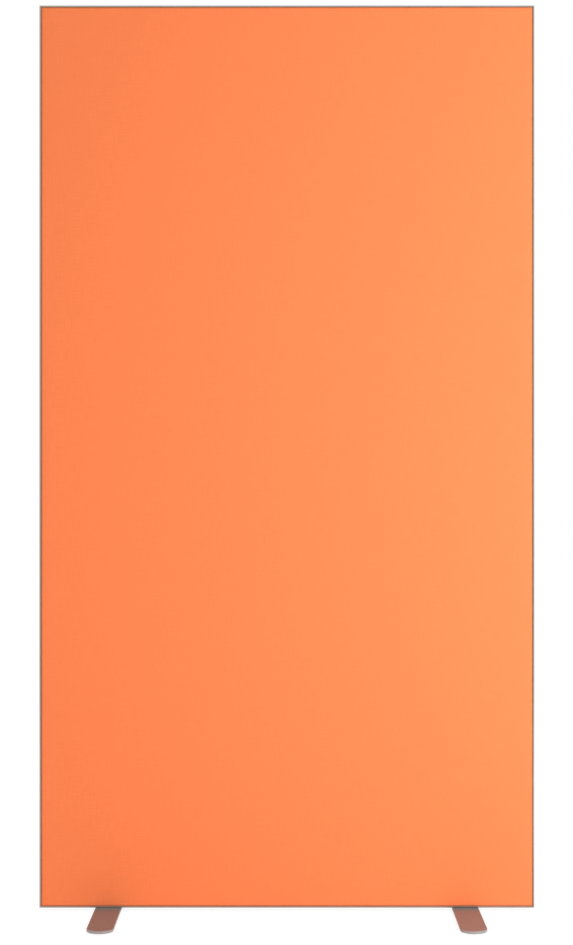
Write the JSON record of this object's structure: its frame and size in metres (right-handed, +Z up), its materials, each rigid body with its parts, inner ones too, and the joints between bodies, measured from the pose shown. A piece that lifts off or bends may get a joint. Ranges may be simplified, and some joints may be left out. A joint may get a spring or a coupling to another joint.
{
  "type": "office partition",
  "caption": "Free-standing office screen: a flat fabric-covered panel in a slim metal frame, on flat round-ended plate feet that swivel under it.",
  "frame": {"origin": "on the floor, under the middle of the screen", "axes": "+Z up, -Y towards the front seen in the picture, +X to the viewer's right"},
  "size_m": [0.95, 0.4, 1.74],
  "materials": {
    "frame_aluminium": "extruded, satin clear anodised",
    "bar_aluminium": "extruded, mill finish",
    "cleat_aluminium": "extruded and sawn, mill finish",
    "orange_fabric": "plain woven polyester, stretched flat, matt",
    "core_board": "honeycomb board, bare",
    "edge_silicone": "extruded silicone, dyed orange like the cloth, matt",
    "cover_plastic": "extruded plastic, grey, matt",
    "foot_steel": "cut plate, silver lacquer, satin gloss",
    "pad_rubber": "moulded rubber, black, matt",
    "washer_nylon": "moulded nylon, black",
    "zinc_steel": "bright zinc plated"
  },
  "bodies": {
    "panel": {"bottom_rail": "frame_aluminium", "cleat_bottom_left": "cleat_aluminium", "cleat_bottom_right": "cleat_aluminium", "cleat_screws_bottom_left": "zinc_steel", "cleat_screws_bottom_right": "zinc_steel", "cleat_screws_top_left": "zinc_steel", "cleat_screws_top_right": "zinc_steel", "cleat_top_left": "cleat_aluminium", "cleat_top_right": "cleat_aluminium", "cross_bar": "bar_aluminium", "cross_bar_bracket_left": "zinc_steel", "cross_bar_bracket_right": "zinc_steel", "cross_bar_screws_left": "zinc_steel", "cross_bar_screws_right": "zinc_steel", "front_edge_strip_bottom": "edge_silicone", "front_edge_strip_left": "edge_silicone", "front_edge_strip_right": "edge_silicone", "front_edge_strip_top": "edge_silicone", "front_fabric": "orange_fabric", "left_cover_strip": "cover_plastic", "left_foot_nut_block": "zinc_steel", "left_foot_nut_block_screws": "zinc_steel", "left_foot_pivot_bolt": "zinc_steel", "left_foot_thrust_washer": "washer_nylon", "left_stile": "frame_aluminium", "lower_infill_board": "core_board", "rear_edge_strip_bottom": "edge_silicone", "rear_edge_strip_left": "edge_silicone", "rear_edge_strip_right": "edge_silicone", "rear_edge_strip_top": "edge_silicone", "rear_fabric": "orange_fabric", "right_cover_strip": "cover_plastic", "right_foot_nut_block": "zinc_steel", "right_foot_nut_block_screws": "zinc_steel", "right_foot_pivot_bolt": "zinc_steel", "right_foot_thrust_washer": "washer_nylon", "right_stile": "frame_aluminium", "top_cover_strip": "cover_plastic", "top_rail": "frame_aluminium", "upper_infill_board": "core_board"},
    "left_foot": {"left_foot": "foot_steel", "left_foot_pad_front": "pad_rubber", "left_foot_pad_rear": "pad_rubber"},
    "right_foot": {"right_foot": "foot_steel", "right_foot_pad_front": "pad_rubber", "right_foot_pad_rear": "pad_rubber"}
  },
  "joints": [
    {"name": "left_foot_swivel", "type": "hinge", "parent": "panel", "child": "left_foot", "pos_m": [-0.343, 0, 0.0075], "axis": [0, 0, 1], "range_deg": [-90, 90]},
    {"name": "right_foot_swivel", "type": "hinge", "parent": "panel", "child": "right_foot", "pos_m": [0.343, 0, 0.0075], "axis": [0, 0, 1], "range_deg": [-90, 90]}
  ]
}
